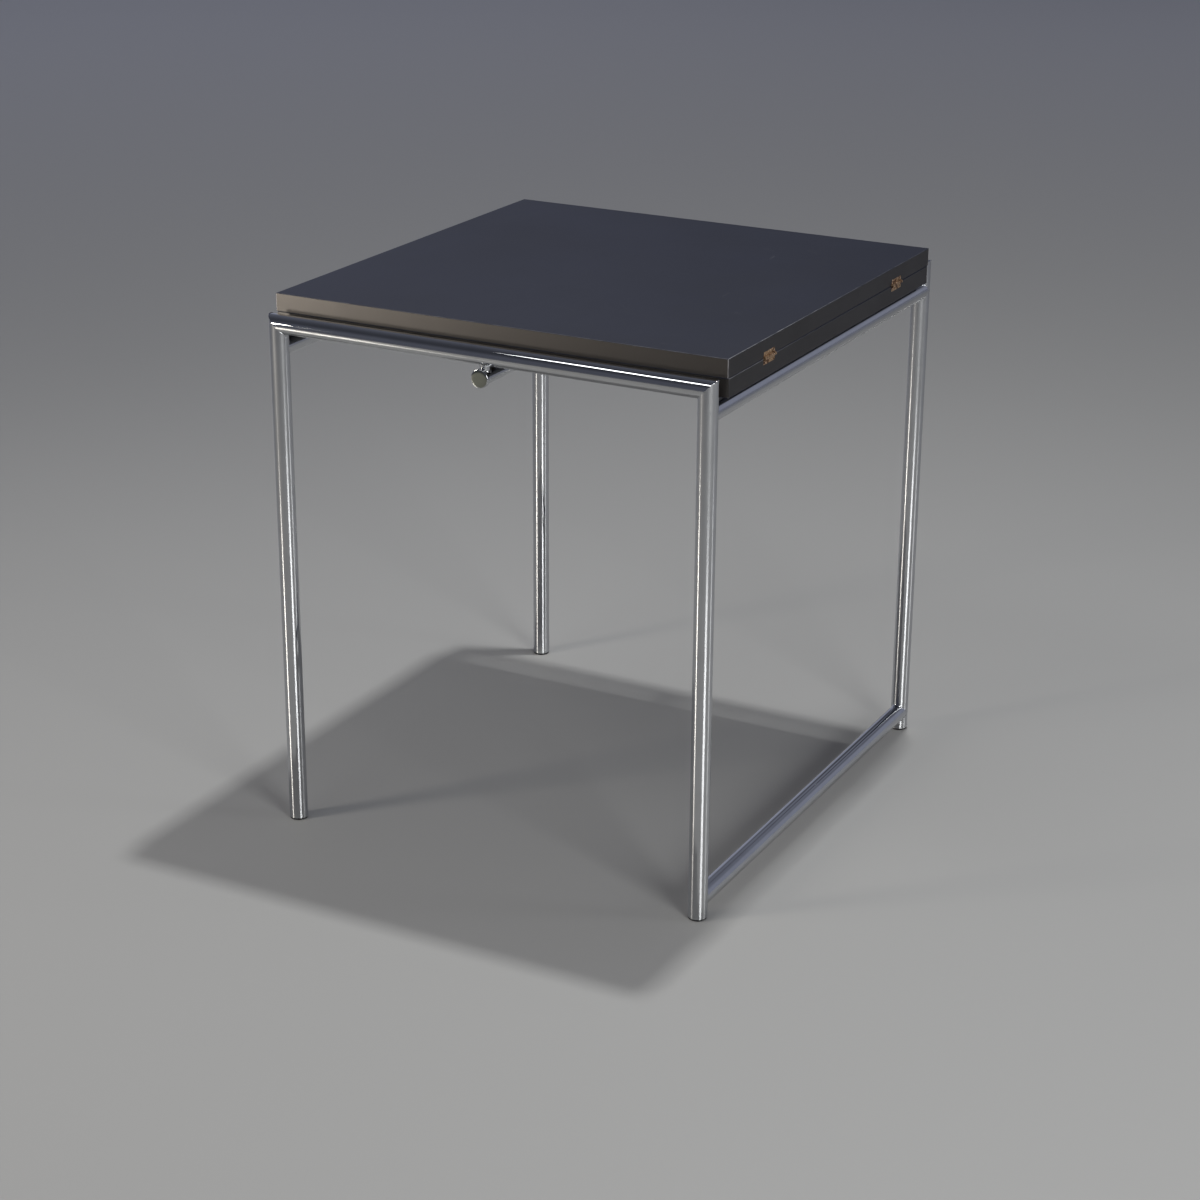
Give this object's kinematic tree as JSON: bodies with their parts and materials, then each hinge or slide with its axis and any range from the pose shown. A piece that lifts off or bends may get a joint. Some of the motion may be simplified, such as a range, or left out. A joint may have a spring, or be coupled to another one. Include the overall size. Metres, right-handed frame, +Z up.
{
  "type": "flip top side table",
  "caption": "Square side table with a chromed tube frame and a double leaf that slides sideways and flips over on edge hinges to a top twice as long.",
  "frame": {"origin": "on the floor, under the middle of the closed top", "axes": "+Z up, +X to the right along the front rail towards the hinged edge, +Y from the knob end towards the back"},
  "size_m": [0.6428, 0.7045, 0.73],
  "materials": {
    "chrome": "polished chrome plate",
    "black_plastic": "satin black plastic",
    "nylon": "natural nylon",
    "steel": "turned bright steel",
    "board": "raw chipboard",
    "laminate": "matte dark blue-grey laminate",
    "edging": "satin dark brown-grey edge banding",
    "brass": "aged brass"
  },
  "bodies": {
    "frame": {"leg_front_left": "chrome", "leg_front_right": "chrome", "leg_rear_left": "chrome", "leg_rear_right": "chrome", "top_rail_front": "chrome", "top_rail_rear": "chrome", "side_rail_left": "chrome", "side_rail_right": "chrome", "floor_bar": "chrome", "glide_front_left": "black_plastic", "glide_front_right": "black_plastic", "glide_rear_left": "black_plastic", "glide_rear_right": "black_plastic", "slide_strip_left": "black_plastic", "slide_strip_right": "black_plastic", "lock_tube": "chrome", "lock_hanger_front": "chrome", "lock_hanger_rear": "chrome", "lock_bush_front": "nylon", "lock_bush_rear": "nylon", "lock_tube_plug": "black_plastic"},
    "lower_leaf": {"lower_leaf_core": "board", "lower_leaf_top_face": "laminate", "lower_leaf_bottom_face": "laminate", "lower_leaf_edging": "edging", "guide_studs": "steel", "hinge_front_lower_plate": "brass", "hinge_rear_lower_plate": "brass", "hinge_front_pin": "brass", "hinge_rear_pin": "brass", "hinge_screws_lower": "brass"},
    "upper_leaf": {"upper_leaf_core": "board", "upper_leaf_top_face": "laminate", "upper_leaf_bottom_face": "laminate", "upper_leaf_edging": "edging", "hinge_front_upper_plate": "brass", "hinge_rear_upper_plate": "brass", "hinge_screws_upper": "brass"},
    "lock": {"lock_knob": "chrome", "lock_shaft": "steel", "lock_cam_front": "nylon", "lock_cam_rear": "nylon", "lock_cam_pins": "steel"}
  },
  "joints": [
    {"name": "top_slide", "type": "slide", "parent": "frame", "child": "lower_leaf", "axis": [-1, 0, 0], "range_m": [0, 0.32]},
    {"name": "leaf_flip", "type": "hinge", "parent": "lower_leaf", "child": "upper_leaf", "pos_m": [0.3203, 0, 0.7057], "axis": [0, 1, 0], "range_deg": [0, 180]},
    {"name": "lock_turn", "type": "hinge", "parent": "frame", "child": "lock", "pos_m": [0, -0.353, 0.6689], "axis": [0, 1, 0], "range_deg": [0, 90]}
  ]
}
